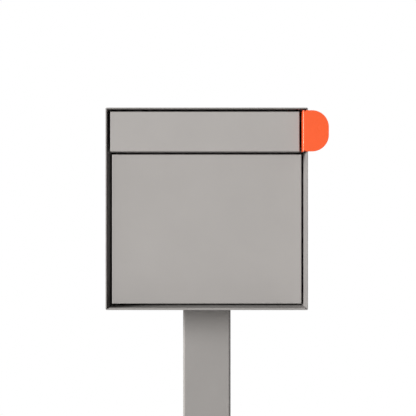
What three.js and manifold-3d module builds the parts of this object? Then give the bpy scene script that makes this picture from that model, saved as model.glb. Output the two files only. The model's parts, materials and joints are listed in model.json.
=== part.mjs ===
// Post-mounted locking mailbox: a square plate box with a letter flap, a hinged door, a signal flag
// and a concealed cam lock, standing on a square tube post with a base plate.
// Millimetres, +Z up. The origin is the centre of the base plate's underside. The front faces -Y.

import * as THREE from 'three';
import { mergeVertices } from 'three/addons/utils/BufferGeometryUtils.js';
import Module from 'manifold-3d';

const wasm = await Module();
wasm.setup();

// ---------------------------------------------------------------- driving dimensions

const FIT = 0.3; // gap between faces that touch or are welded
const PLATE = 2.4; // shell plate thickness
const SHEET = 2; // folded sheet thickness: flap, door, frame angles, flag
const BEND = 2.5; // outside radius of a fold
const THROUGH = 1; // how far a cutter or a joined solid runs past a face

const BOX_SIZE = 406.4; // outside width and height of the box
const BOX_DEPTH = 304.8;
const BOX_FLOOR_HEIGHT = 1066.8; // underside of the box above the ground

const POST_WIDTH = 101.6;
const POST_WALL = 3.2;
const POST_CORNER = 5;
const BASE_WIDTH = 254;
const BASE_THICKNESS = 9.5;
const BASE_CORNER = 12;
const ANCHOR_SPACING = 203.2;
const ANCHOR_HOLE_RADIUS = 7;

const CAP_THICKNESS = 8;
const BOLT_SPACING = 60;
const BOLT_RADIUS = 4;
const BOLT_TAIL = 6; // thread below the cap plate
const BOLT_HEAD = { radius: 7.5, height: 5.3 };
const BOLT_WASHER = { radius: 8, thickness: 1.6 };
const STIFFENER_PLATE = { width: 96, thickness: 4 };

const RIM_NOTCH = { gap: 1.5, depth: 5 }; // corner relief where the mitres meet the front rim
const SILL_LIP = { height: 1.8, depth: 12, endGap: 4 }; // raised front edge of the bottom plate
const BACK_INSET = 2; // back panel's outer face inside the shell's rear edge
const BACK_FLANGE = 15;

const FLAP = { recess: 15, depth: 18, height: 81.3, topGap: 3.7, leftGap: 5, rightGap: 12.6 };
const FLAP_AXIS_INSET = 8; // hinge axis behind the flap's front and below its top
const FLAP_ROD_RADIUS = 2.5;
const FLAP_CLIP = { radius: 5, thickness: 1, rodEnd: 0.8 };
const FLAP_LUG = { offset: 146, thickness: 3, radius: 5, back: 14, width: 10, foot: 30 };
const CORNER = 1.5; // radius of the flap's and door's corners in front view

const DOOR = { recess: 54, depth: 32, sideGap: 4, bottomGap: 3.6, flapGap: 3 };
const DOOR_AXIS_INSET = 8; // hinge axis behind the door's front and inside its left edge
const DOOR_PIN = { radius: 3, headRadius: 5, headHeight: 3, tail: 8, washerRadius: 6 };
const STIFFENER = { half: 30, crown: 18, rise: 14, gauge: 1.5, endGap: 18 };
const BUMPER = { gap: 0.4, flapMargin: 0.5, doorRadius: 4, doorInset: 50 };

const STOP_CLEARANCE = 2.4; // door's rear edges to the jambs
const JAMB = { face: 18.5, leg: 24 };
const SILL = { height: 15, leg: 14 };
const TRANSOM = { front: 39.4, depth: 34, height: 10 };
const LOCK_TAB = { halfWidth: 24, height: 38, slope: 8 }; // sides run out to the web over the slope
const TRANSOM_RISE = 0.2; // transom's underside above the flap's bottom edge

const LOCK_RISE = 19; // lock axis above the transom's underside
const LOCK = { flangeRadius: 11, flange: 3, bodyRadius: 9.5, bodyLength: 35.3 };
const LOCK_PLUG = { radius: 5.3, proud: 0.5, tail: 0.8 };
const LOCK_NUT = { radius: 14, height: 4 };
const KEYWAY = { halfWidth: 0.7, halfHeight: 3.6, depth: 12 };
const CAM = { length: 33, width: 12, thickness: 2.5, square: 6, bodyGap: 1.3, slotGap: 3 };
const CAM_SCREW = { radius: 1.7, headRadius: 5, head: 2.5, length: 8 };

const FLAG = { height: 82.5, reach: 49.6, cornerRadius: 33.5, leafDepth: 34.8 };
const FLAG_AXIS = { fromWall: 5.7, barrelRadius: 2.6, leafGap: 0.5 };
const FLAG_PIN = { radius: 1.25, headRadius: 2.2, headHeight: 1, tail: 0.8 };
const FLAG_RIM_GAP = 0.5; // blade's rear face in front of the shell's rim
const FLAG_BOTTOM_DROP = 0.8; // flag's bottom edge below the flap's bottom edge
const FLAG_STUD = { radius: 2, headRadius: 3.5, head: 1.1, back: 24, spread: 43, short: 0.2 };
const FLAG_SPACER_RADIUS = 5;

const ROUND_SEGMENTS = 32;
const SMALL_SEGMENTS = 20;
const CURVE_SEGMENTS = 8;
const FLAG_CURVE_SEGMENTS = 16;
const WELD_TOLERANCE = 1e-4;

// ---------------------------------------------------------------- derived places
// Box coordinates: the box's centre is the origin of the box group.

const HALF_BOX = BOX_SIZE / 2;
const FRONT = -BOX_DEPTH / 2;
const BACK = BOX_DEPTH / 2;
const INNER = HALF_BOX - PLATE; // inner faces of the four shell plates
const FLOOR = -INNER;

const flap = {
  left: -INNER + FLAP.leftGap,
  right: INNER - FLAP.rightGap,
  top: INNER - FLAP.topGap,
  bottom: INNER - FLAP.topGap - FLAP.height,
  front: FRONT + FLAP.recess,
  rear: FRONT + FLAP.recess + FLAP.depth,
};
const flapAxis = {
  x: (flap.left + flap.right) / 2,
  y: flap.front + FLAP_AXIS_INSET,
  z: flap.top - FLAP_AXIS_INSET,
};

const door = {
  left: -INNER + DOOR.sideGap,
  right: INNER - DOOR.sideGap,
  top: flap.bottom - DOOR.flapGap,
  bottom: FLOOR + DOOR.bottomGap,
  front: FRONT + DOOR.recess,
  rear: FRONT + DOOR.recess + DOOR.depth,
};
const doorAxis = { x: door.left + DOOR_AXIS_INSET, y: door.front + DOOR_AXIS_INSET };
const stopFace = door.rear + STOP_CLEARANCE;

const transom = {
  front: FRONT + TRANSOM.front,
  bottom: flap.bottom + TRANSOM_RISE,
};
const lockAxis = { x: 0, y: transom.front, z: transom.bottom + LOCK_RISE };
const camFront = LOCK.bodyLength + CAM.bodyGap; // behind the transom's front face
const flagAxis = {
  x: INNER - FLAG_AXIS.fromWall,
  y: FRONT - FLAG_RIM_GAP - SHEET + FLAG_AXIS.barrelRadius,
  z: flap.bottom - FLAG_BOTTOM_DROP + FLAG.height / 2,
};

// ---------------------------------------------------------------- geometry helpers

function solidOf(geometry) {
  const bare = new THREE.BufferGeometry();
  bare.setAttribute('position', geometry.getAttribute('position').clone());
  if (geometry.index) {
    bare.setIndex(geometry.index.clone());
  }
  const merged = mergeVertices(bare, WELD_TOLERANCE);
  return new wasm.Manifold(new wasm.Mesh({
    numProp: 3,
    vertProperties: Float32Array.from(merged.getAttribute('position').array),
    triVerts: Uint32Array.from(merged.index.array),
  }));
}

function geometryOf(solid) {
  const mesh = solid.getMesh();
  const geometry = new THREE.BufferGeometry();
  geometry.setAttribute('position', new THREE.BufferAttribute(mesh.vertProperties, 3));
  geometry.setIndex(new THREE.BufferAttribute(mesh.triVerts, 1));
  return geometry;
}

function join(first, ...others) {
  return geometryOf(others.reduce((solid, other) => solid.add(solidOf(other)), solidOf(first)));
}

function cut(first, ...others) {
  return geometryOf(others.reduce((solid, other) => solid.subtract(solidOf(other)), solidOf(first)));
}

function common(first, ...others) {
  return geometryOf(others.reduce((solid, other) => solid.intersect(solidOf(other)), solidOf(first)));
}

// A block between two values along each axis.
function block([x0, x1], [y0, y1], [z0, z1]) {
  const geometry = new THREE.BoxGeometry(x1 - x0, y1 - y0, z1 - z0);
  return geometry.translate((x0 + x1) / 2, (y0 + y1) / 2, (z0 + z1) / 2);
}

// A cylinder between two values along one axis, centred on two values of the other axes.
function cylinder(axis, radius, [from, to], [u, v], segments = ROUND_SEGMENTS) {
  const geometry = new THREE.CylinderGeometry(radius, radius, to - from, segments);
  const middle = (from + to) / 2;
  if (axis === 'x') {
    return geometry.rotateZ(Math.PI / 2).translate(middle, u, v);
  }
  if (axis === 'y') {
    return geometry.translate(u, middle, v);
  }
  return geometry.rotateX(Math.PI / 2).translate(u, v, middle);
}

// Extrusions of an outline: drawn in XY along Z, in XZ along Y, and in YZ along X.
function extrude(shape, length, curveSegments = CURVE_SEGMENTS) {
  return new THREE.ExtrudeGeometry(shape, { depth: length, bevelEnabled: false, curveSegments });
}

function extrudeZ(shape, [z0, z1]) {
  return extrude(shape, z1 - z0).translate(0, 0, z0);
}

function extrudeY(shape, [y0, y1], curveSegments) {
  return extrude(shape, y1 - y0, curveSegments).rotateX(Math.PI / 2).translate(0, y1, 0);
}

function extrudeX(shape, [x0, x1]) {
  return extrude(shape, x1 - x0).rotateX(Math.PI / 2).rotateZ(Math.PI / 2).translate(x0, 0, 0);
}

function polygon(points) {
  return new THREE.Shape(points.map(([u, v]) => new THREE.Vector2(u, v)));
}

// A rectangle with its own radius at each corner, in the order of travel from the lower left.
function rectangle([u0, u1], [v0, v1], radii = [0, 0, 0, 0]) {
  const turns = [
    { at: [u0, v0], centre: [1, 1], start: Math.PI },
    { at: [u1, v0], centre: [-1, 1], start: -Math.PI / 2 },
    { at: [u1, v1], centre: [-1, -1], start: 0 },
    { at: [u0, v1], centre: [1, -1], start: Math.PI / 2 },
  ];
  const shape = new THREE.Shape();
  turns.forEach(({ at, centre, start }, index) => {
    const radius = radii[index];
    const place = index === 0 ? 'moveTo' : 'lineTo';
    if (radius === 0) {
      shape[place](at[0], at[1]);
      return;
    }
    const u = at[0] + centre[0] * radius;
    const v = at[1] + centre[1] * radius;
    shape[place](u + radius * Math.cos(start), v + radius * Math.sin(start));
    shape.absarc(u, v, radius, start, start + Math.PI / 2, false);
  });
  return shape;
}

function square(width, radius = 0) {
  return rectangle([-width / 2, width / 2], [-width / 2, width / 2], Array(4).fill(radius));
}

function circleHole(u, v, radius) {
  return new THREE.Path().absarc(u, v, radius, 0, 2 * Math.PI, true);
}

function ring(axis, outer, inner, span, centre) {
  const beyond = [span[0] - THROUGH, span[1] + THROUGH];
  return cut(
    cylinder(axis, outer, span, centre, SMALL_SEGMENTS),
    cylinder(axis, inner, beyond, centre, SMALL_SEGMENTS),
  );
}

// The four corners of a square pattern.
function corners(spacing) {
  const half = spacing / 2;
  return [[-half, -half], [half, -half], [half, half], [-half, half]];
}

// A folded sheet pan, open to the rear: front sheet with rounded folds and four returns.
function pan([x0, x1], [y0, y1], [z0, z1]) {
  const seenFromAbove = rectangle([x0, x1], [y0, y1], [BEND, BEND, 0, 0]);
  const seenFromTheSide = rectangle([y0, y1], [z0, z1], [BEND, 0, 0, BEND]);
  const seenFromTheFront = rectangle([x0, x1], [z0, z1], Array(4).fill(CORNER));
  const outside = common(
    extrudeZ(seenFromAbove, [z0, z1]),
    extrudeX(seenFromTheSide, [x0, x1]),
    extrudeY(seenFromTheFront, [y0, y1]),
  );
  const hollow = block([x0 + SHEET, x1 - SHEET], [y0 + SHEET, y1 + THROUGH], [z0 + SHEET, z1 - SHEET]);
  return cut(outside, hollow);
}

// ---------------------------------------------------------------- materials

function coat(color) {
  return new THREE.MeshStandardMaterial({ color, roughness: 0.55, metalness: 0 });
}

function metal(color, roughness) {
  return new THREE.MeshStandardMaterial({ color, roughness, metalness: 1 });
}

const greyCoat = () => coat(0xaeaaa7);
const orangeCoat = () => coat(0xfe683d);
const zincSteel = () => metal(0xb4b6b8, 0.35);
const blackSteel = () => metal(0x2a2a2b, 0.5);
const stainless = () => metal(0xc4c4c2, 0.3);
const brass = () => metal(0xc9a65a, 0.3);
const nylon = () => new THREE.MeshStandardMaterial({ color: 0x232324, roughness: 0.6, metalness: 0 });
const rubber = () => new THREE.MeshStandardMaterial({ color: 0x1d1d1e, roughness: 0.9, metalness: 0 });

function piece(name, geometry, material, place = [0, 0, 0], turn = [0, 0, 0]) {
  const mesh = new THREE.Mesh(geometry, material);
  mesh.name = name;
  mesh.position.set(...place);
  mesh.rotation.set(...turn);
  return mesh;
}

// ---------------------------------------------------------------- post, in ground coordinates

function basePlate() {
  const shape = square(BASE_WIDTH, BASE_CORNER);
  corners(ANCHOR_SPACING).forEach(([x, y]) => shape.holes.push(circleHole(x, y, ANCHOR_HOLE_RADIUS)));
  return extrudeZ(shape, [0, BASE_THICKNESS]);
}

function postTube() {
  const shape = square(POST_WIDTH, POST_CORNER);
  shape.holes.push(square(POST_WIDTH - 2 * POST_WALL, POST_CORNER - POST_WALL));
  return extrudeZ(shape, [BASE_THICKNESS + FIT, BOX_FLOOR_HEIGHT - FIT]);
}

function postCapPlate() {
  const width = POST_WIDTH - 2 * POST_WALL - 2 * FIT;
  const shape = square(width, POST_CORNER - POST_WALL);
  corners(BOLT_SPACING).forEach(([x, y]) => shape.holes.push(circleHole(x, y, BOLT_RADIUS + FIT)));
  const top = BOX_FLOOR_HEIGHT - FIT;
  return extrudeZ(shape, [top - CAP_THICKNESS, top]);
}

function makePost() {
  const post = new THREE.Group();
  post.add(
    piece('base_plate', basePlate(), greyCoat()),
    piece('post_tube', postTube(), greyCoat()),
    piece('post_cap_plate', postCapPlate(), greyCoat()),
  );
  return post;
}

// ---------------------------------------------------------------- bolted joint of box and post

function stiffenerPlate(bottom) {
  const shape = square(STIFFENER_PLATE.width);
  corners(BOLT_SPACING).forEach(([x, y]) => shape.holes.push(circleHole(x, y, BOLT_RADIUS + FIT)));
  return extrudeZ(shape, [bottom, bottom + STIFFENER_PLATE.thickness]);
}

// A hex bolt whose head's underside is at z = 0.
function hexBolt(shankLength) {
  const head = cylinder('z', BOLT_HEAD.radius, [0, BOLT_HEAD.height], [0, 0], 6);
  const shank = cylinder('z', BOLT_RADIUS, [-shankLength, THROUGH], [0, 0], SMALL_SEGMENTS);
  return join(head, shank);
}

function makeFixings() {
  const fixings = new THREE.Group();
  const plateBottom = FLOOR + FIT;
  const washerBottom = plateBottom + STIFFENER_PLATE.thickness + FIT;
  const headBottom = washerBottom + BOLT_WASHER.thickness + FIT;
  const shankLength = headBottom + HALF_BOX + CAP_THICKNESS + BOLT_TAIL;
  fixings.add(piece('floor_stiffener_plate', stiffenerPlate(plateBottom), zincSteel()));
  corners(BOLT_SPACING).forEach(([x, y], index) => {
    const span = [0, BOLT_WASHER.thickness];
    const washer = ring('z', BOLT_WASHER.radius, BOLT_RADIUS + FIT, span, [0, 0]);
    fixings.add(piece(`mount_washer_${index + 1}`, washer, zincSteel(), [x, y, washerBottom]));
    fixings.add(piece(`mount_bolt_${index + 1}`, hexBolt(shankLength), zincSteel(), [x, y, headBottom]));
  });
  return fixings;
}

// ---------------------------------------------------------------- shell, in box coordinates

// The plate is drawn as the top one, with mitred ends, and the box group turns it about Y.
// Each mitre opens into a relief notch at the front rim.
function shellPlate(holes = [], ...extras) {
  const outline = (gap) => {
    const outer = HALF_BOX - gap / Math.SQRT2; // each mitre face stands back by half the gap
    return polygon([
      [-outer + PLATE, INNER],
      [outer - PLATE, INNER],
      [outer, HALF_BOX],
      [-outer, HALF_BOX],
    ]);
  };
  const notchEnd = FRONT + RIM_NOTCH.depth;
  const rim = extrudeY(outline(RIM_NOTCH.gap), [FRONT, notchEnd + THROUGH]);
  const plate = join(rim, extrudeY(outline(FIT), [notchEnd, BACK]), ...extras);
  const drills = holes.map(({ x, y, radius }) => (
    cylinder('z', radius, [INNER - THROUGH, HALF_BOX + THROUGH], [x, y], SMALL_SEGMENTS)
  ));
  return cut(plate, ...drills);
}

// Drawn on the top plate's place like every shell plate, so it reaches down into the box.
function sillLip() {
  const half = INNER - SILL_LIP.endGap;
  return block([-half, half], [FRONT, FRONT + SILL_LIP.depth], [INNER - SILL_LIP.height, INNER + THROUGH]);
}

function backPanel() {
  const half = INNER - FIT;
  const rear = BACK - BACK_INSET;
  const front = rear - BACK_FLANGE;
  const outside = block([-half, half], [front, rear], [-half, half]);
  const within = half - SHEET;
  return cut(outside, block([-within, within], [front - THROUGH, rear - SHEET], [-within, within]));
}

// The bottom plate is turned half a turn about Y, and the right one a quarter turn.
function makeShell() {
  const shell = new THREE.Group();
  const floorHoles = corners(BOLT_SPACING).map(([x, y]) => ({ x, y, radius: BOLT_RADIUS + FIT }));
  floorHoles.push({ x: -doorAxis.x, y: doorAxis.y, radius: DOOR_PIN.radius + FIT });
  const studHoles = flagStudHeights().map((height) => (
    { x: -height, y: flagAxis.y + FLAG_STUD.back, radius: FLAG_STUD.radius + FIT }
  ));
  const quarter = Math.PI / 2;
  shell.add(
    piece('shell_top', shellPlate(), greyCoat()),
    piece('shell_right', shellPlate(studHoles), greyCoat(), [0, 0, 0], [0, quarter, 0]),
    piece('shell_bottom', shellPlate(floorHoles, sillLip()), greyCoat(), [0, 0, 0], [0, 2 * quarter, 0]),
    piece('shell_left', shellPlate(), greyCoat(), [0, 0, 0], [0, 3 * quarter, 0]),
    piece('back_panel', backPanel(), greyCoat()),
  );
  return shell;
}

// ---------------------------------------------------------------- door frame

// An angle behind the door's edge, drawn for the right wall: face towards the door, leg on the wall.
function jamb(side) {
  const wall = INNER - FIT;
  const points = [
    [wall, stopFace],
    [wall, stopFace + JAMB.leg],
    [wall - SHEET, stopFace + JAMB.leg],
    [wall - SHEET, stopFace + SHEET],
    [wall - JAMB.face, stopFace + SHEET],
    [wall - JAMB.face, stopFace],
  ];
  const outline = points.map(([x, y]) => [side * x, y]);
  return extrudeZ(polygon(outline), [FLOOR + FIT, door.top]);
}

function sillStop() {
  const half = INNER - JAMB.face - 2 * FIT;
  const bottom = FLOOR + FIT;
  const outline = polygon([
    [stopFace, bottom],
    [stopFace + SILL.leg, bottom],
    [stopFace + SILL.leg, bottom + SHEET],
    [stopFace + SHEET, bottom + SHEET],
    [stopFace + SHEET, bottom + SILL.height],
    [stopFace, bottom + SILL.height],
  ]);
  return extrudeX(outline, [-half, half]);
}

// An angle across the box between flap and door, with a raised tab that carries the lock.
function transomAngle() {
  const half = INNER - FIT;
  const { front, bottom } = transom;
  const shoulder = bottom + TRANSOM.height;
  const tabTop = bottom + LOCK_TAB.height;
  const tabHalf = LOCK_TAB.halfWidth - LOCK_TAB.slope;
  const web = polygon([
    [-half, bottom],
    [half, bottom],
    [half, shoulder],
    [LOCK_TAB.halfWidth, shoulder],
    [tabHalf, tabTop],
    [-tabHalf, tabTop],
    [-LOCK_TAB.halfWidth, shoulder],
    [-half, shoulder],
  ]);
  web.holes.push(circleHole(lockAxis.x, lockAxis.z, LOCK.bodyRadius + FIT));
  const shelf = block([-half, half], [front, front + TRANSOM.depth], [bottom, bottom + SHEET]);
  const pinSpan = [bottom - THROUGH, bottom + SHEET + THROUGH];
  const pinHole = cylinder('z', DOOR_PIN.radius + FIT, pinSpan, [doorAxis.x, doorAxis.y], SMALL_SEGMENTS);
  return cut(join(extrudeY(web, [front, front + SHEET]), shelf), pinHole);
}

function makeFrame() {
  const frame = new THREE.Group();
  frame.add(
    piece('hinge_jamb', jamb(-1), greyCoat()),
    piece('strike_jamb', jamb(1), greyCoat()),
    piece('sill_stop', sillStop(), greyCoat()),
    piece('transom', transomAngle(), greyCoat()),
  );
  return frame;
}

// ---------------------------------------------------------------- letter flap, about its hinge axis

// A hook that hangs from the top plate behind the flap and reaches forward to the rod.
function flapLug() {
  const { radius, back, width, thickness, foot } = FLAP_LUG;
  const top = INNER - FIT - flapAxis.z;
  const outline = new THREE.Shape();
  outline.moveTo(0, -radius);
  outline.lineTo(back + width, -radius);
  outline.lineTo(back + width, top);
  outline.lineTo(back, top);
  outline.lineTo(back, radius);
  outline.lineTo(0, radius);
  outline.absarc(0, 0, radius, Math.PI / 2, 1.5 * Math.PI, false);
  outline.holes.push(circleHole(0, 0, FLAP_ROD_RADIUS + FIT));
  const hook = extrudeX(outline, [-thickness / 2, thickness / 2]);
  return join(hook, block([-foot / 2, foot / 2], [back, back + width], [top - SHEET, top]));
}

function flapPanel() {
  const halfWidth = (flap.right - flap.left) / 2;
  const front = flap.front - flapAxis.y;
  const rear = flap.rear - flapAxis.y;
  const top = flap.top - flapAxis.z;
  const body = pan([-halfWidth, halfWidth], [front, rear], [flap.bottom - flapAxis.z, top]);
  const notchHalf = FLAP_LUG.thickness / 2 + SHEET;
  const notches = [-1, 1].map((side) => {
    const x = side * FLAP_LUG.offset;
    const notchHeight = [top - SHEET - THROUGH, top + THROUGH];
    return block([x - notchHalf, x + notchHalf], [front + SHEET, rear + THROUGH], notchHeight);
  });
  const bore = FLAP_ROD_RADIUS + FIT;
  const rodSpan = [-halfWidth - THROUGH, halfWidth + THROUGH];
  const rodHole = cylinder('x', bore, rodSpan, [0, 0], SMALL_SEGMENTS);
  return cut(body, ...notches, rodHole);
}

function makeFlap() {
  const assembly = new THREE.Group();
  assembly.position.set(flapAxis.x, flapAxis.y, flapAxis.z);
  const halfWidth = (flap.right - flap.left) / 2;
  const clip = [halfWidth + FIT, halfWidth + FIT + FLAP_CLIP.thickness];
  const rodEnd = clip[1] + FLAP_CLIP.rodEnd;
  const rod = cylinder('x', FLAP_ROD_RADIUS, [-rodEnd, rodEnd], [0, 0], SMALL_SEGMENTS);
  assembly.add(
    piece('flap_panel', flapPanel(), greyCoat()),
    piece('flap_rod', rod, blackSteel()),
  );
  const sides = { left: -1, right: 1 };
  Object.entries(sides).forEach(([name, side]) => {
    const span = side > 0 ? clip : [-clip[1], -clip[0]];
    const clipRing = ring('x', FLAP_CLIP.radius, FLAP_ROD_RADIUS + FIT, span, [0, 0]);
    assembly.add(
      piece(`flap_rod_clip_${name}`, clipRing, blackSteel()),
      piece(`flap_lug_${name}`, flapLug(), greyCoat(), [side * FLAP_LUG.offset, 0, 0]),
    );
  });
  return assembly;
}

// Rubber buttons on the transom's web that the closed flap rests on.
function makeFlapBumpers() {
  const bumpers = new THREE.Group();
  const radius = TRANSOM.height / 2 - BUMPER.flapMargin;
  const span = [flap.rear + BUMPER.gap, transom.front - FIT];
  const height = transom.bottom + TRANSOM.height / 2;
  const button = () => cylinder('y', radius, span, [0, 0], SMALL_SEGMENTS);
  bumpers.add(
    piece('flap_bumper_left', button(), rubber(), [-FLAP_LUG.offset, 0, height]),
    piece('flap_bumper_right', button(), rubber(), [FLAP_LUG.offset, 0, height]),
  );
  return bumpers;
}

// ---------------------------------------------------------------- door

function doorPanel() {
  const body = pan([door.left, door.right], [door.front, door.rear], [door.bottom, door.top]);
  const pinHole = (z) => (
    cylinder('z', DOOR_PIN.radius + FIT, [z - SHEET, z + SHEET], [doorAxis.x, doorAxis.y], SMALL_SEGMENTS)
  );
  const drop = lockAxis.z - door.top;
  const sweep = Math.sqrt(CAM.length ** 2 - drop ** 2);
  const gap = CAM.slotGap;
  const camRear = lockAxis.y + camFront + CAM.thickness;
  const camSlot = block(
    [lockAxis.x - CAM.width / 2 - gap, lockAxis.x + sweep + gap],
    [lockAxis.y + camFront - gap, camRear + gap],
    [door.top - SHEET - THROUGH, door.top + THROUGH],
  );
  return cut(body, pinHole(door.top), pinHole(door.bottom), camSlot);
}

// A hat section fixed to the back of the door's front sheet.
function doorStiffener() {
  const { half, crown, rise, gauge, endGap } = STIFFENER;
  const front = door.front + SHEET + FIT;
  const points = [
    [-half, front],
    [-crown, front],
    [-crown, front + rise - gauge],
    [crown, front + rise - gauge],
    [crown, front],
    [half, front],
    [half, front + gauge],
    [crown + gauge, front + gauge],
    [crown + gauge, front + rise],
    [-crown - gauge, front + rise],
    [-crown - gauge, front + gauge],
    [-half, front + gauge],
  ];
  return extrudeZ(polygon(points), [door.bottom + endGap, door.top - endGap]);
}

// A pin with its head at the top; z = 0 is the head's underside.
function headedPin(length) {
  const head = cylinder('z', DOOR_PIN.headRadius, [0, DOOR_PIN.headHeight], [0, 0], SMALL_SEGMENTS);
  const shank = cylinder('z', DOOR_PIN.radius, [-length, THROUGH], [0, 0], SMALL_SEGMENTS);
  return join(head, shank);
}

function makeDoor() {
  const assembly = new THREE.Group();
  const topHead = transom.bottom + SHEET + FIT;
  const topLength = topHead - door.top + DOOR_PIN.tail;
  const bottomHead = door.bottom + SHEET + FIT;
  const bottomLength = bottomHead + HALF_BOX - FIT;
  const washerSpan = [FLOOR + FIT, door.bottom - FIT];
  const bore = DOOR_PIN.radius + FIT;
  const washer = ring('z', DOOR_PIN.washerRadius, bore, washerSpan, [doorAxis.x, doorAxis.y]);
  const at = (z) => [doorAxis.x, doorAxis.y, z];
  assembly.add(
    piece('door_panel', doorPanel(), greyCoat()),
    piece('door_stiffener', doorStiffener(), greyCoat()),
    piece('door_pin_top', headedPin(topLength), blackSteel(), at(topHead)),
    piece('door_pin_bottom', headedPin(bottomLength), blackSteel(), at(bottomHead)),
    piece('door_thrust_washer', washer, nylon()),
  );
  return assembly;
}

// Rubber buttons on the strike jamb that the door's right return closes against.
function makeDoorBumpers() {
  const bumpers = new THREE.Group();
  const span = [door.rear + BUMPER.gap, stopFace - FIT];
  const button = () => cylinder('y', BUMPER.doorRadius, span, [0, 0], SMALL_SEGMENTS);
  const x = door.right - SHEET;
  bumpers.add(
    piece('door_bumper_upper', button(), rubber(), [x, 0, door.top - BUMPER.doorInset]),
    piece('door_bumper_lower', button(), rubber(), [x, 0, door.bottom + BUMPER.doorInset]),
  );
  return bumpers;
}

// ---------------------------------------------------------------- cam lock, about its own axis
// Lock coordinates: y = 0 is the front face of the transom's web.

function lockBody() {
  const flangeFront = -LOCK.flange - FIT;
  const outside = join(
    cylinder('y', LOCK.flangeRadius, [flangeFront, -FIT], [0, 0]),
    cylinder('y', LOCK.bodyRadius, [-FIT - THROUGH, LOCK.bodyLength], [0, 0]),
  );
  const boreSpan = [flangeFront - THROUGH, LOCK.bodyLength + THROUGH];
  return cut(outside, cylinder('y', LOCK_PLUG.radius + FIT, boreSpan, [0, 0]));
}

function lockNut() {
  const front = SHEET + FIT;
  const rear = front + LOCK_NUT.height;
  const hex = cylinder('y', LOCK_NUT.radius, [front, rear], [0, 0], 6);
  return cut(hex, cylinder('y', LOCK.bodyRadius + FIT, [front - THROUGH, rear + THROUGH], [0, 0]));
}

function lockPlug() {
  const face = -LOCK.flange - FIT - LOCK_PLUG.proud;
  const tailEnd = camFront + CAM.thickness;
  const half = CAM.square / 2;
  const barrelEnd = LOCK.bodyLength + LOCK_PLUG.tail;
  const barrel = cylinder('y', LOCK_PLUG.radius, [face, barrelEnd], [0, 0], SMALL_SEGMENTS);
  const tail = block([-half, half], [LOCK.bodyLength, tailEnd], [-half, half]);
  const { halfWidth, halfHeight, depth } = KEYWAY;
  const keyway = block(
    [-halfWidth, halfWidth],
    [face - THROUGH, face + depth],
    [-halfHeight, halfHeight],
  );
  const screwSpan = [tailEnd - CAM_SCREW.length - THROUGH, tailEnd + THROUGH];
  const screwHole = cylinder('y', CAM_SCREW.radius + FIT, screwSpan, [0, 0], SMALL_SEGMENTS);
  return cut(join(barrel, tail), keyway, screwHole);
}

// The cam points to the right when the lock is open.
function lockCam() {
  const half = CAM.width / 2;
  const hole = CAM.square / 2 + FIT;
  const shape = new THREE.Shape();
  shape.moveTo(0, -half);
  shape.lineTo(CAM.length - half, -half);
  shape.absarc(CAM.length - half, 0, half, -Math.PI / 2, Math.PI / 2, false);
  shape.lineTo(0, half);
  shape.absarc(0, 0, half, Math.PI / 2, 1.5 * Math.PI, false);
  shape.holes.push(rectangle([-hole, hole], [-hole, hole]));
  return extrudeY(shape, [camFront, camFront + CAM.thickness]);
}

function lockCamScrew() {
  const { radius, headRadius, head, length } = CAM_SCREW;
  const seat = camFront + CAM.thickness + FIT;
  return join(
    cylinder('y', headRadius, [seat, seat + head], [0, 0], SMALL_SEGMENTS),
    cylinder('y', radius, [seat - length, seat + THROUGH], [0, 0], SMALL_SEGMENTS),
  );
}

function makeLock() {
  const lock = new THREE.Group();
  lock.position.set(lockAxis.x, lockAxis.y, lockAxis.z);
  lock.add(
    piece('lock_body', lockBody(), stainless()),
    piece('lock_nut', lockNut(), stainless()),
    piece('lock_plug', lockPlug(), brass()),
    piece('lock_cam', lockCam(), zincSteel()),
    piece('lock_cam_screw', lockCamScrew(), zincSteel()),
  );
  return lock;
}

// ---------------------------------------------------------------- signal flag, about its hinge pin

function flagStudHeights() {
  return [-1, 1].map((side) => flagAxis.z + side * FLAG_STUD.spread / 2);
}

// The fixed leaf lies beside the flap, and its two ears hold the pin in front.
function flagLeaf() {
  const half = FLAG.height / 2;
  const barrel = FLAG_AXIS.barrelRadius;
  const leafFront = barrel + FLAG_AXIS.leafGap;
  const right = -barrel + SHEET;
  const plate = block([-barrel, right], [leafFront, leafFront + FLAG.leafDepth], [-half, half]);
  const ear = (z) => {
    const shape = rectangle([-barrel, barrel], [-barrel, 4 * barrel], [barrel, barrel, 0, 0]);
    shape.holes.push(circleHole(0, 0, FLAG_PIN.radius + FIT));
    return extrudeZ(shape, [z, z + SHEET]);
  };
  const studHoles = [-1, 1].map((side) => (
    cylinder(
      'x',
      FLAG_STUD.radius + FIT,
      [-barrel - THROUGH, right + THROUGH],
      [FLAG_STUD.back, side * FLAG_STUD.spread / 2],
      SMALL_SEGMENTS,
    )
  ));
  return cut(join(plate, ear(-half), ear(half - SHEET)), ...studHoles);
}

// The blade is a D-shaped sheet rolled around the pin, notched at the ears.
function flagBlade() {
  const half = FLAG.height / 2;
  const barrel = FLAG_AXIS.barrelRadius;
  const notch = half - SHEET - FIT;
  const notchEnd = barrel + FLAG_AXIS.leafGap;
  const radius = FLAG.cornerRadius;
  const shape = new THREE.Shape();
  shape.moveTo(0, -notch);
  shape.lineTo(notchEnd, -notch);
  shape.lineTo(notchEnd, -half);
  shape.lineTo(FLAG.reach - radius, -half);
  shape.absarc(FLAG.reach - radius, radius - half, radius, -Math.PI / 2, 0, false);
  shape.absarc(FLAG.reach - radius, half - radius, radius, 0, Math.PI / 2, false);
  shape.lineTo(notchEnd, half);
  shape.lineTo(notchEnd, notch);
  shape.lineTo(0, notch);
  const sheet = extrudeY(shape, [-barrel, SHEET - barrel], FLAG_CURVE_SEGMENTS);
  const roll = cylinder('z', barrel, [-notch, notch], [0, 0], SMALL_SEGMENTS);
  const boreSpan = [-notch - THROUGH, notch + THROUGH];
  const bore = cylinder('z', FLAG_PIN.radius + FIT, boreSpan, [0, 0], SMALL_SEGMENTS);
  return cut(join(sheet, roll), bore);
}

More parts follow.
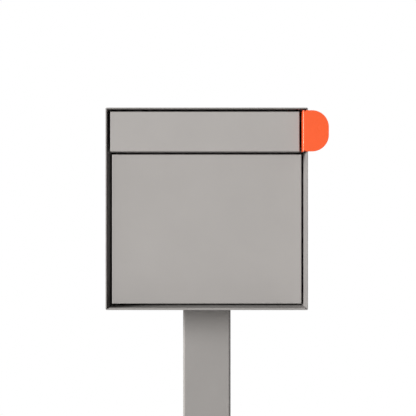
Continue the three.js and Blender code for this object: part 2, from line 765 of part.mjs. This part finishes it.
function flagPin() {
  const half = FLAG.height / 2;
  const headBottom = half + FIT;
  const headTop = headBottom + FLAG_PIN.headHeight;
  return join(
    cylinder('z', FLAG_PIN.radius, [-half - FLAG_PIN.tail, headTop], [0, 0], SMALL_SEGMENTS),
    cylinder('z', FLAG_PIN.headRadius, [headBottom, headTop], [0, 0], SMALL_SEGMENTS),
  );
}

function flagStud() {
  const leafLeft = -FLAG_AXIS.barrelRadius;
  const wallOutside = FLAG_AXIS.fromWall + PLATE;
  const headSpan = [leafLeft - FIT - FLAG_STUD.head, leafLeft - FIT];
  const shankSpan = [headSpan[1] - FLAG_STUD.head / 2, wallOutside - FLAG_STUD.short];
  return join(
    cylinder('x', FLAG_STUD.headRadius, headSpan, [0, 0], SMALL_SEGMENTS),
    cylinder('x', FLAG_STUD.radius, shankSpan, [0, 0], SMALL_SEGMENTS),
  );
}

function makeFlag() {
  const flag = new THREE.Group();
  flag.position.set(flagAxis.x, flagAxis.y, flagAxis.z);
  flag.add(
    piece('flag_leaf', flagLeaf(), orangeCoat()),
    piece('flag_blade', flagBlade(), orangeCoat()),
    piece('flag_pin', flagPin(), blackSteel()),
  );
  const spacerSpan = [-FLAG_AXIS.barrelRadius + SHEET + FIT, FLAG_AXIS.fromWall - FIT];
  const heights = { lower: -FLAG_STUD.spread / 2, upper: FLAG_STUD.spread / 2 };
  Object.entries(heights).forEach(([name, z]) => {
    const place = [0, FLAG_STUD.back, z];
    const spacer = ring('x', FLAG_SPACER_RADIUS, FLAG_STUD.radius + FIT, spacerSpan, [0, 0]);
    flag.add(
      piece(`flag_spacer_${name}`, spacer, blackSteel(), place),
      piece(`flag_stud_${name}`, flagStud(), blackSteel(), place),
    );
  });
  return flag;
}

// ---------------------------------------------------------------- the whole mailbox

const box = new THREE.Group();
box.position.z = BOX_FLOOR_HEIGHT + HALF_BOX;
box.add(
  makeShell(),
  makeFixings(),
  makeFrame(),
  makeFlap(),
  makeFlapBumpers(),
  makeDoor(),
  makeDoorBumpers(),
  makeLock(),
  makeFlag(),
);

const mailbox = new THREE.Group();
mailbox.add(makePost(), box);

export default mailbox;
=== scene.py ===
"""Looks for the post-mounted mailbox: coats, metals, broken edges, weld beads, camera and studio."""

import json
import math

import bmesh
import bpy
from mathutils import Matrix, Vector


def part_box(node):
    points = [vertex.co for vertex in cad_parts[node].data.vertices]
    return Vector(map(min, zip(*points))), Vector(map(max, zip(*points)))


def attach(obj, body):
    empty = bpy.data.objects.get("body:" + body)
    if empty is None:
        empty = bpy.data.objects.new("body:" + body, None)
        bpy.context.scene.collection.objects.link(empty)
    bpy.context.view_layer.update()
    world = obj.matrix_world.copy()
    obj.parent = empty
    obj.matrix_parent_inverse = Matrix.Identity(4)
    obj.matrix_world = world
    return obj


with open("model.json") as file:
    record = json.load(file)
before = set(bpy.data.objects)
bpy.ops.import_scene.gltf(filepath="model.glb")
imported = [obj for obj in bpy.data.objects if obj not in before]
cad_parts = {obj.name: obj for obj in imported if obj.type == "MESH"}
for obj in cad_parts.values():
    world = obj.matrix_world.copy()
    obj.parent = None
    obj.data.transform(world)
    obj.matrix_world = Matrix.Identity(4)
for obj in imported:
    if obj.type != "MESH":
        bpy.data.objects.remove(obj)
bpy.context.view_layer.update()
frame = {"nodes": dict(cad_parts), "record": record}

MM = 0.001
ROOT = "mailbox"
nodes = frame["nodes"]


# ---------------------------------------------------------------- places read from the frame

def span(*names):
    """Lowest and highest corners of several CAD nodes together."""
    boxes = [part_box(name) for name in names]
    low = Vector([min(b[0][axis] for b in boxes) for axis in range(3)])
    high = Vector([max(b[1][axis] for b in boxes) for axis in range(3)])
    return low, high


shell_low, shell_high = span("shell_top", "shell_bottom", "shell_left", "shell_right")
shell_centre = (shell_low + shell_high) / 2
rim_y = shell_low.y
post_low, post_high = span("post_tube")
base_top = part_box("base_plate")[1].z
gauge = shell_high.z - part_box("shell_top")[0].z
inner_low = shell_low + Vector((gauge, 0, gauge))
inner_high = shell_high - Vector((gauge, 0, gauge))


# ---------------------------------------------------------------- node tree helpers

NOISE_LOW, NOISE_HIGH = 0.3, 0.7  # most of a noise's values lie between these


def new_material(name):
    material = bpy.data.materials.new(name)
    material.use_nodes = True
    tree = material.node_tree
    return material, tree, tree.nodes["Principled BSDF"]


def add_node(tree, kind, **sockets):
    node = tree.nodes.new(kind)
    for name, value in sockets.items():
        node.inputs[name.replace("_", " ")].default_value = value
    return node


def object_position(tree, stretch=(1, 1, 1)):
    """Object coordinates, which are metres in the row frame, stretched along each axis."""
    place = tree.nodes.new("ShaderNodeTexCoord")
    mapping = tree.nodes.new("ShaderNodeMapping")
    mapping.inputs["Scale"].default_value = stretch
    tree.links.new(place.outputs["Object"], mapping.inputs["Vector"])
    return mapping.outputs["Vector"]


def noise(tree, position, scale, detail, roughness=0.5):
    """A noise value whose cells are about 1/scale metres across."""
    node = add_node(tree, "ShaderNodeTexNoise", Scale=scale, Detail=detail, Roughness=roughness)
    tree.links.new(position, node.inputs["Vector"])
    return node.outputs["Fac"]


def remap(tree, value, low, high, out_low, out_high):
    node = tree.nodes.new("ShaderNodeMapRange")
    numbers = {"From Min": low, "From Max": high, "To Min": out_low, "To Max": out_high}
    for name, number in numbers.items():
        node.inputs[name].default_value = number
    tree.links.new(value, node.inputs["Value"])
    return node.outputs["Result"]


def spread(tree, value, out_low=0.0, out_high=1.0):
    """A noise value stretched from its usual span to the one given."""
    return remap(tree, value, NOISE_LOW, NOISE_HIGH, out_low, out_high)


def mix_colours(tree, factor, first, second):
    """A colour that runs from first to second; either may be a colour or a socket."""
    node = tree.nodes.new("ShaderNodeMix")
    node.data_type = "RGBA"
    tree.links.new(factor, node.inputs["Factor"])
    for socket, colour in (("A", first), ("B", second)):
        target = [i for i in node.inputs if i.name == socket and i.type == "RGBA"][0]
        if isinstance(colour, bpy.types.NodeSocket):
            tree.links.new(colour, target)
        else:
            target.default_value = (*colour, 1.0)
    return [o for o in node.outputs if o.type == "RGBA"][0]


def bump(tree, height, depth, under=None):
    """A normal for a height that spans the given depth, on top of another normal if there is one."""
    node = add_node(tree, "ShaderNodeBump", Distance=depth)
    tree.links.new(height, node.inputs["Height"])
    if under is not None:
        tree.links.new(under, node.inputs["Normal"])
    return node.outputs["Normal"]


def shade(colour, factor):
    return tuple(channel * factor for channel in colour)


# ---------------------------------------------------------------- materials
# A scale is a noise's cells per metre, a cut is the span of noise values over which a mark
# appears, and a tone is a factor on the colour.

DUST = (0.36, 0.315, 0.26)
DUST_HEIGHT = 150 * MM
DUST_AT_GROUND = 0.75
DUST_SCALE = 90
DUST_CUT = (0.42, 0.7)


def ground_dust(tree, position):
    """Splashed dust near the ground, in small patches, thickest at the bottom."""
    parts = tree.nodes.new("ShaderNodeSeparateXYZ")
    tree.links.new(position, parts.inputs["Vector"])
    low = remap(tree, parts.outputs["Z"], DUST_HEIGHT, 0.0, 0.0, DUST_AT_GROUND)
    splashes = noise(tree, position, DUST_SCALE, detail=5.0, roughness=0.65)
    patches = remap(tree, splashes, *DUST_CUT, 0.0, 1.0)
    product = tree.nodes.new("ShaderNodeMath")
    product.operation = "MULTIPLY"
    tree.links.new(low, product.inputs[0])
    tree.links.new(patches, product.inputs[1])
    return product.outputs[0]


CLOUD_SCALE = 14
CLOUD_TONES = (0.985, 1.015)
SPECK_SCALE = 2600
SPECK_CUT = (0.66, 0.74)
SPECK_SHARE = 0.35
SPECK_TONE = 0.8
GLOSS_SCALE = 35
GLOSS_SPREAD = 0.04  # on either side of the roughness
PEEL_SCALE = 620
PEEL_DEPTH = 0.05 * MM
GRAIN_SCALE = 3200
GRAIN_DEPTH = 0.012 * MM
COAT_SPECULAR = 0.4


def powder_coat(name, colour, roughness):
    """Satin powder coat: orange peel a millimetre or so across, a finer grain, and a cloudy film."""
    material, tree, shader = new_material(name)
    position = object_position(tree)
    cloud = spread(tree, noise(tree, position, CLOUD_SCALE, detail=4.0))
    darker, lighter = CLOUD_TONES
    film = mix_colours(tree, cloud, shade(colour, darker), shade(colour, lighter))
    specks = noise(tree, position, SPECK_SCALE, detail=2.0)
    speck = remap(tree, specks, *SPECK_CUT, 0.0, SPECK_SHARE)
    grained = mix_colours(tree, speck, film, shade(colour, SPECK_TONE))
    dusted = mix_colours(tree, ground_dust(tree, position), grained, DUST)
    tree.links.new(dusted, shader.inputs["Base Color"])
    gloss = noise(tree, position, GLOSS_SCALE, detail=3.0)
    patch = spread(tree, gloss, roughness - GLOSS_SPREAD, roughness + GLOSS_SPREAD)
    tree.links.new(patch, shader.inputs["Roughness"])
    peel = bump(tree, noise(tree, position, PEEL_SCALE, detail=2.0, roughness=0.4), PEEL_DEPTH)
    grain = bump(tree, noise(tree, position, GRAIN_SCALE, detail=2.0), GRAIN_DEPTH, under=peel)
    tree.links.new(grain, shader.inputs["Normal"])
    shader.inputs["Specular IOR Level"].default_value = COAT_SPECULAR
    return material


LINE_SCALE = 900
LINE_DEPTH = 0.02 * MM
LINE_SMOOTHER, LINE_ROUGHER = 0.07, 0.09  # below and above the roughness
TARNISH_SCALE = 160
TARNISH_TONE = 0.9


def plated_steel(name, colour, roughness, stretch):
    """Metal with fine drawn lines; the lines run along the axis with the smallest stretch."""
    material, tree, shader = new_material(name)
    lines = noise(tree, object_position(tree, stretch), LINE_SCALE, detail=4.0, roughness=0.6)
    tint = spread(tree, noise(tree, object_position(tree), TARNISH_SCALE, detail=3.0))
    metal = mix_colours(tree, tint, shade(colour, TARNISH_TONE), colour)
    tree.links.new(metal, shader.inputs["Base Color"])
    worn = spread(tree, lines, roughness - LINE_SMOOTHER, roughness + LINE_ROUGHER)
    tree.links.new(worn, shader.inputs["Roughness"])
    tree.links.new(bump(tree, lines, LINE_DEPTH), shader.inputs["Normal"])
    shader.inputs["Metallic"].default_value = 1.0
    return material


BLOOM_SCALE = 300
BLOOM_CUT = (0.45, 0.75)
BLOOM_SHARE = 0.5
BLOOM_TONE = 2.2
MOULD_SCALE = 2400
MOULD_DEPTH = 0.03 * MM


def moulded_black(name, colour, roughness):
    """Rubber or nylon: a pale bloom in patches, and a fine moulded grain."""
    material, tree, shader = new_material(name)
    position = object_position(tree)
    patches = noise(tree, position, BLOOM_SCALE, detail=4.0)
    bloom = remap(tree, patches, *BLOOM_CUT, 0.0, BLOOM_SHARE)
    dusty = mix_colours(tree, bloom, colour, shade(colour, BLOOM_TONE))
    tree.links.new(dusty, shader.inputs["Base Color"])
    grain = bump(tree, noise(tree, position, MOULD_SCALE, detail=3.0), MOULD_DEPTH)
    tree.links.new(grain, shader.inputs["Normal"])
    shader.inputs["Roughness"].default_value = roughness
    return material


GREY = (0.362, 0.343, 0.329)
ORANGE = (0.92, 0.119, 0.033)
ZINC = (0.56, 0.57, 0.58)
BLACK_ZINC = (0.035, 0.035, 0.037)
STAINLESS = (0.62, 0.61, 0.6)
BRASS = (0.6, 0.42, 0.15)
NYLON = (0.016, 0.016, 0.016)
RUBBER = (0.012, 0.012, 0.013)

FINISHES = {  # by material slot
    "grey_coat": powder_coat("grey_coat", GREY, roughness=0.48),
    "orange_coat": powder_coat("orange_coat", ORANGE, roughness=0.24),
    "zinc_steel": plated_steel("zinc_steel", ZINC, roughness=0.36, stretch=(1, 1, 0.12)),
    "black_steel": plated_steel("black_zinc_steel", BLACK_ZINC, roughness=0.45, stretch=(0.12, 1, 1)),
    "stainless": plated_steel("stainless_steel", STAINLESS, roughness=0.3, stretch=(0.05, 1, 1)),
    "lock_brass": plated_steel("lock_brass", BRASS, roughness=0.3, stretch=(1, 0.1, 1)),
    "nylon": moulded_black("black_nylon", NYLON, roughness=0.6),
    "rubber": moulded_black("black_rubber", RUBBER, roughness=0.82),
}


# ---------------------------------------------------------------- mesh finishing

SHARP_ANGLE = math.radians(30)  # an edge that turns more than this stays sharp in the shading
BEVEL_ANGLE = math.radians(32)  # and one that turns more than this is rounded
FLAT_ANGLE = math.radians(0.5)
MERGE_DISTANCE = 0.001 * MM
BEVEL_SEGMENTS = 2


def smooth_group():
    """A geometry node group that shades smooth and keeps edges over the sharp angle sharp."""
    group = bpy.data.node_groups.new("smooth_by_angle", "GeometryNodeTree")
    group.interface.new_socket("Geometry", in_out="INPUT", socket_type="NodeSocketGeometry")
    group.interface.new_socket("Geometry", in_out="OUTPUT", socket_type="NodeSocketGeometry")
    source = group.nodes.new("NodeGroupInput")
    sink = group.nodes.new("NodeGroupOutput")
    faces = group.nodes.new("GeometryNodeSetShadeSmooth")
    faces.domain = "FACE"
    edges = group.nodes.new("GeometryNodeSetShadeSmooth")
    edges.domain = "EDGE"
    angle = group.nodes.new("GeometryNodeInputMeshEdgeAngle")
    blunt = group.nodes.new("FunctionNodeCompare")
    blunt.operation = "LESS_EQUAL"
    blunt.inputs[1].default_value = SHARP_ANGLE
    link = group.links.new
    link(source.outputs[0], faces.inputs["Geometry"])
    link(faces.outputs[0], edges.inputs["Geometry"])
    link(angle.outputs["Unsigned Angle"], blunt.inputs[0])
    link(blunt.outputs[0], edges.inputs["Shade Smooth"])
    link(edges.outputs[0], sink.inputs[0])
    return group


SMOOTH = smooth_group()


def break_edges(obj, width):
    """Rounds an object's sharp edges with modifiers, and shades it smooth."""
    weld = obj.modifiers.new("merge_vertices", "WELD")
    weld.merge_threshold = MERGE_DISTANCE
    flat = obj.modifiers.new("merge_flat_faces", "DECIMATE")
    flat.decimate_type = "DISSOLVE"
    flat.angle_limit = FLAT_ANGLE
    bevel = obj.modifiers.new("broken_edges", "BEVEL")
    bevel.width = width
    bevel.segments = BEVEL_SEGMENTS
    bevel.limit_method = "ANGLE"
    bevel.angle_limit = BEVEL_ANGLE
    bevel.miter_outer = "MITER_ARC"
    shading = obj.modifiers.new("smooth_by_angle", "NODES")
    shading.node_group = SMOOTH
    normals = obj.modifiers.new("flat_face_normals", "WEIGHTED_NORMAL")
    normals.keep_sharp = True
    normals.weight = 100  # the most there is: large faces set the normals


def paint(obj, material):
    obj.data.materials.clear()
    obj.data.materials.append(material)


# ---------------------------------------------------------------- CAD nodes, which keep their shape

EDGE_BREAKS = {
    "grey_coat": 0.35 * MM,
    "orange_coat": 0.4 * MM,
    "zinc_steel": 0.2 * MM,
    "black_steel": 0.2 * MM,
    "stainless": 0.15 * MM,
    "lock_brass": 0.15 * MM,
    "nylon": 0.3 * MM,
    "rubber": 0.6 * MM,
}


def dress_cad_nodes():
    """Each CAD node gets its slot's finish and slightly rounded edges."""
    for entry in frame["record"]["subparts"]:
        obj = nodes[entry["node"]]
        paint(obj, FINISHES[entry["material_slot"]])
        break_edges(obj, EDGE_BREAKS[entry["material_slot"]])


# ---------------------------------------------------------------- weld beads

BEAD_SLOT = "grey_coat"
BEAD_STEP = 0.8 * MM  # between stations along a straight bead
BEAD_ARC_STEPS = 5
BEAD_SUNK = 0.25 * MM  # how far the root lies inside the two sheets
BEAD_CROWN = 0.12  # share by which the middle of the arc stands out
BEAD_RIPPLE = 0.09  # share by which a ripple stands out

POST_CORNER = 5 * MM  # the tube's outside corner radius, as the CAD has it
POST_CORNER_STEPS = 10
POST_BEAD, POST_PITCH = 6 * MM, 4.5 * MM
SEAM_BEAD, SEAM_PITCH = 1.0 * MM, 3.2 * MM
SEAM_BEHIND_RIM = 6 * MM  # past the rim's notches
SEAM_BEFORE_REAR = 18 * MM  # short of the back panel's flanges
BACK_BEAD = 1.7 * MM
BACK_END_GAP = 0.3 * MM

UP = Vector((0, 0, 1))
DOWN = Vector((0, 0, -1))
LEFT = Vector((-1, 0, 0))
RIGHT = Vector((1, 0, 0))
REARWARD = Vector((0, 1, 0))


def bead_section(radius):
    """The root and a slightly convex arc, as distances along the directions of the two legs."""
    points = [(-BEAD_SUNK, -BEAD_SUNK)]
    for step in range(BEAD_ARC_STEPS + 1):
        angle = math.pi / 2 * step / BEAD_ARC_STEPS
        crown = 1 + BEAD_CROWN * math.sin(2 * angle)
        flat = 1 / (math.cos(angle) + math.sin(angle))
        points.append((radius * flat * crown * math.cos(angle), radius * flat * crown * math.sin(angle)))
    return points


def bead_mesh(name, rings, closed):
    """A skin over rings of points, closed in a loop or capped at both ends."""
    bm = bmesh.new()
    loops = [[bm.verts.new(point) for point in ring] for ring in rings]
    count = len(loops)
    for index in range(count if closed else count - 1):
        ring, following = loops[index], loops[(index + 1) % count]
        for k in range(len(ring)):
            after = (k + 1) % len(ring)
            bm.faces.new((ring[k], ring[after], following[after], following[k]))
    if not closed:
        bm.faces.new(loops[0])
        bm.faces.new(loops[-1])
    bmesh.ops.recalc_face_normals(bm, faces=bm.faces)
    mesh = bpy.data.meshes.new(name)
    bm.to_mesh(mesh)
    bm.free()
    mesh.shade_smooth()
    return mesh


def weld_bead(name, stations, radius, closed, pitch):
    """A rippled fillet. A station is a corner point and the two directions away from it."""
    rings = []
    travelled = 0.0
    for index, (corner, leg_a, leg_b) in enumerate(stations):
        if index:
            travelled += (corner - stations[index - 1][0]).length
        ripple = 1 + BEAD_RIPPLE * abs(math.sin(math.pi * travelled / pitch))
        rings.append([corner + leg_a * a * ripple + leg_b * b * ripple
                      for a, b in bead_section(radius)])
    obj = bpy.data.objects.new(name, bead_mesh(name, rings, closed))
    bpy.context.scene.collection.objects.link(obj)
    paint(obj, FINISHES[BEAD_SLOT])
    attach(obj, ROOT)


def around_square(half, radius, height):
    """Stations round a square tube with rounded corners, at one height."""
    stations = []
    straight = half - radius
    runs = max(1, round(2 * straight / BEAD_STEP))
    for side in range(4):
        turn = Matrix.Rotation(side * math.pi / 2, 4, "Z")
        for k in range(runs):
            along = -straight + 2 * straight * k / runs
            stations.append((turn @ Vector((half, along, height)), turn @ RIGHT, UP))
        for k in range(POST_CORNER_STEPS):
            angle = math.pi / 2 * k / POST_CORNER_STEPS
            out = Vector((math.cos(angle), math.sin(angle), 0))
            corner = Vector((straight, straight, 0)) + out * radius
            stations.append((turn @ (corner + Vector((0, 0, height))), turn @ out, UP))
    return stations


def straight_run(start, end, leg_a, leg_b):
    """Stations from one end of a straight seam to the other."""
    count = max(2, round((end - start).length / BEAD_STEP))
    return [(start.lerp(end, k / count), leg_a, leg_b) for k in range(count + 1)]


def weld_post():
    """A fillet round the post's foot on the base plate."""
    half = (post_high.x - post_low.x) / 2
    foot = around_square(half, POST_CORNER, base_top)
    weld_bead("weld_post_foot", foot, POST_BEAD, True, POST_PITCH)


def weld_box_corners():
    """Seams along the inside of the shell's four corners, behind the front rim's notches."""
    reach = (rim_y + SEAM_BEHIND_RIM, shell_high.y - SEAM_BEFORE_REAR)
    for name, x, x_leg in (("left", inner_low.x, RIGHT), ("right", inner_high.x, LEFT)):
        for level, z, z_leg in (("bottom", inner_low.z, UP), ("top", inner_high.z, DOWN)):
            start = Vector((x, reach[0], z))
            end = Vector((x, reach[1], z))
            run = straight_run(start, end, x_leg, z_leg)
            weld_bead(f"weld_corner_{level}_{name}", run, SEAM_BEAD, False, SEAM_PITCH)


def weld_back_panel():
    """A small fillet round the back panel, in the step inside the shell's rear edge."""
    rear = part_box("back_panel")[1].y
    corners = [Vector((inner_low.x, rear, inner_low.z)), Vector((inner_high.x, rear, inner_low.z)),
               Vector((inner_high.x, rear, inner_high.z)), Vector((inner_low.x, rear, inner_high.z))]
    inward = {"bottom": UP, "right": LEFT, "top": DOWN, "left": RIGHT}
    for index, (side, leg) in enumerate(inward.items()):
        start, end = corners[index], corners[(index + 1) % 4]
        along = (end - start).normalized() * BACK_END_GAP
        run = straight_run(start + along, end - along, leg, REARWARD)
        weld_bead(f"weld_back_{side}", run, BACK_BEAD, False, SEAM_PITCH)


# ---------------------------------------------------------------- camera and lights

CAMERA_DISTANCE = 1.6  # in front of the rim
CAMERA_OFFSET = Vector((2.5 * MM, 0, 1.6 * MM))
LENS = 69.0
SENSOR_WIDTH = 36
NEAR_CLIP = 0.05


def add_camera():
    """Level and straight on to the front, a few millimetres right of centre and above it."""
    data = bpy.data.cameras.new("camera")
    data.lens = LENS
    data.sensor_width = SENSOR_WIDTH
    data.clip_start = NEAR_CLIP
    camera = bpy.data.objects.new("camera", data)
    place = Vector((shell_centre.x, rim_y - CAMERA_DISTANCE, shell_centre.z)) + CAMERA_OFFSET
    camera.location = place
    camera.rotation_euler = (math.pi / 2, 0, 0)
    bpy.context.scene.collection.objects.link(camera)
    bpy.context.scene.camera = camera


def light_group(name, members, state="INCLUDE"):
    """A collection that tells a light which objects to reach, or which ones to leave out."""
    group = bpy.data.collections.new(name)
    for obj in members:
        group.objects.link(obj)
    for entry in group.collection_objects:
        entry.light_linking.link_state = state
    return group


def softbox(name, azimuth, elevation, distance, size, radiance):
    """A rectangular light; azimuth 0 is in front, positive to the right. Radiance is per steradian."""
    az, el = math.radians(azimuth), math.radians(elevation)
    towards = Vector((math.sin(az) * math.cos(el), -math.cos(az) * math.cos(el), math.sin(el)))
    data = bpy.data.lights.new(name, "AREA")
    data.shape = "RECTANGLE"
    data.size, data.size_y = size
    data.energy = radiance * math.pi * size[0] * size[1]
    light = bpy.data.objects.new(name, data)
    light.location = shell_centre + towards * distance
    light.rotation_euler = towards.to_track_quat("Z", "Y").to_euler()
    bpy.context.scene.collection.objects.link(light)
    return light


KEY = {"azimuth": -58, "elevation": 13.5, "distance": 16, "size": (12.5, 7.5)}
FRONT = {"azimuth": -8, "elevation": -6, "distance": 16, "size": (8, 8)}
KEY_RADIANCE = 14.6
KEY_BOUNCED = 0.4  # share of the key's light that is passed on from surface to surface
FACE_RADIANCE = {  # on each front face, from the key's place and from the front
    "door_panel": (7.4, 8.7),
    "flap_panel": (7.7, 9.0),
    "flag_blade": (18.6, 0),
}
WEAK_LIGHTS = {
    "back_right": {"azimuth": 126, "elevation": 20, "distance": 6, "size": (4, 5), "radiance": 2.8},
    "back_left": {"azimuth": -140, "elevation": 25, "distance": 6, "size": (4, 4), "radiance": 2.0},
    "overhead": {"azimuth": 180, "elevation": 78, "distance": 6, "size": (5, 5), "radiance": 2.2},
}


def add_face_light(name, place, radiance, face):
    """A light that reaches one front face, is shaded by that face only, and isn't passed on."""
    light = softbox(name, **place, radiance=radiance)
    only = light_group(f"only_{name}", [face])
    light.light_linking.receiver_collection = only
    light.light_linking.blocker_collection = only
    light.data.cycles.max_bounces = 0
    return light


def add_key():
    """A large key light from the left, in two parts, and lights for the front faces.

    The photograph's door and flap show no shadow from the rim, while the walls and the post do.
    So the front faces are left out of the key and lit by lights of their own. Only one part of
    the key is passed on from surface to surface: with both, the recess and the post come out
    lighter than in the photograph.
    """
    all_but_faces = light_group("all_but_faces", [nodes[name] for name in FACE_RADIANCE], "EXCLUDE")
    key = softbox("key", **KEY, radiance=KEY_RADIANCE * KEY_BOUNCED)
    direct = softbox("key_direct", **KEY, radiance=KEY_RADIANCE * (1 - KEY_BOUNCED))
    direct.data.cycles.max_bounces = 0
    for light in (key, direct):
        light.light_linking.receiver_collection = all_but_faces
    for name, (from_left, from_front) in FACE_RADIANCE.items():
        add_face_light(f"left_{name}", KEY, from_left, nodes[name])
        if from_front:
            front = add_face_light(f"front_{name}", FRONT, from_front, nodes[name])
            front.visible_glossy = False


def add_weak_lights():
    """Lights behind the front plane, so that the sides, back and top can be read."""
    for name, place in WEAK_LIGHTS.items():
        softbox(name, **place)


# ---------------------------------------------------------------- backdrop and floor

FILL_STRENGTH = 0.025
ROOM_STRENGTH = 0.55
BACKDROP_STRENGTH = 1.0
WHITE = (1, 1, 1, 1)

FLOOR_RADIUS = 2.9
FLOOR_SOLID = 1.5  # radius within which the floor hides the backdrop
FLOOR_SIDES = 96
FLOOR_TONES = ((0.78, 0.78, 0.77), (0.8, 0.8, 0.79))
FLOOR_CLOUD_SCALE = 40
FLOOR_GRAIN_SCALE = 500
FLOOR_GRAIN_DEPTH = 0.1 * MM
FLOOR_ROUGHNESS = 0.8


def add_world():
    """White where the camera looks past the object; glossy surfaces see a pale room around them."""
    world = bpy.data.worlds.new("studio")
    world.use_nodes = True
    tree = world.node_tree
    tree.nodes.clear()
    fill = add_node(tree, "ShaderNodeBackground", Color=WHITE, Strength=FILL_STRENGTH)
    room = add_node(tree, "ShaderNodeBackground", Color=WHITE, Strength=ROOM_STRENGTH)
    backdrop = add_node(tree, "ShaderNodeBackground", Color=WHITE, Strength=BACKDROP_STRENGTH)
    path = tree.nodes.new("ShaderNodeLightPath")
    shiny = tree.nodes.new("ShaderNodeMixShader")
    seen = tree.nodes.new("ShaderNodeMixShader")
    output = tree.nodes.new("ShaderNodeOutputWorld")
    link = tree.links.new
    link(path.outputs["Is Glossy Ray"], shiny.inputs["Fac"])
    link(fill.outputs[0], shiny.inputs[1])
    link(room.outputs[0], shiny.inputs[2])
    link(path.outputs["Is Camera Ray"], seen.inputs["Fac"])
    link(shiny.outputs[0], seen.inputs[1])
    link(backdrop.outputs[0], seen.inputs[2])
    link(seen.outputs[0], output.inputs["Surface"])
    bpy.context.scene.world = world


def floor_material():
    """Pale and matt, and it thins out towards the rim so that it meets the white backdrop softly."""
    material, tree, shader = new_material("pale_floor")
    position = object_position(tree)
    soft = spread(tree, noise(tree, position, FLOOR_CLOUD_SCALE, detail=3.0))
    tree.links.new(mix_colours(tree, soft, *FLOOR_TONES), shader.inputs["Base Color"])
    reach = tree.nodes.new("ShaderNodeVectorMath")
    reach.operation = "LENGTH"
    tree.links.new(position, reach.inputs[0])
    fade = remap(tree, reach.outputs["Value"], FLOOR_SOLID, FLOOR_RADIUS, 1.0, 0.0)
    tree.links.new(fade, shader.inputs["Alpha"])
    grain = bump(tree, noise(tree, position, FLOOR_GRAIN_SCALE, detail=2.0), FLOOR_GRAIN_DEPTH)
    tree.links.new(grain, shader.inputs["Normal"])
    shader.inputs["Roughness"].default_value = FLOOR_ROUGHNESS
    return material


def add_floor():
    """A pale round floor, small enough to stay out of the front view."""
    bm = bmesh.new()
    bmesh.ops.create_circle(bm, cap_ends=True, segments=FLOOR_SIDES, radius=FLOOR_RADIUS)
    mesh = bpy.data.meshes.new("floor")
    bm.to_mesh(mesh)
    bm.free()
    floor = bpy.data.objects.new("floor", mesh)
    bpy.context.scene.collection.objects.link(floor)
    paint(floor, floor_material())


# ---------------------------------------------------------------- the scene

dress_cad_nodes()
weld_post()
weld_box_corners()
weld_back_panel()
add_camera()
add_key()
add_weak_lights()
add_world()
add_floor()

bpy.context.scene.view_settings.view_transform = "Standard"
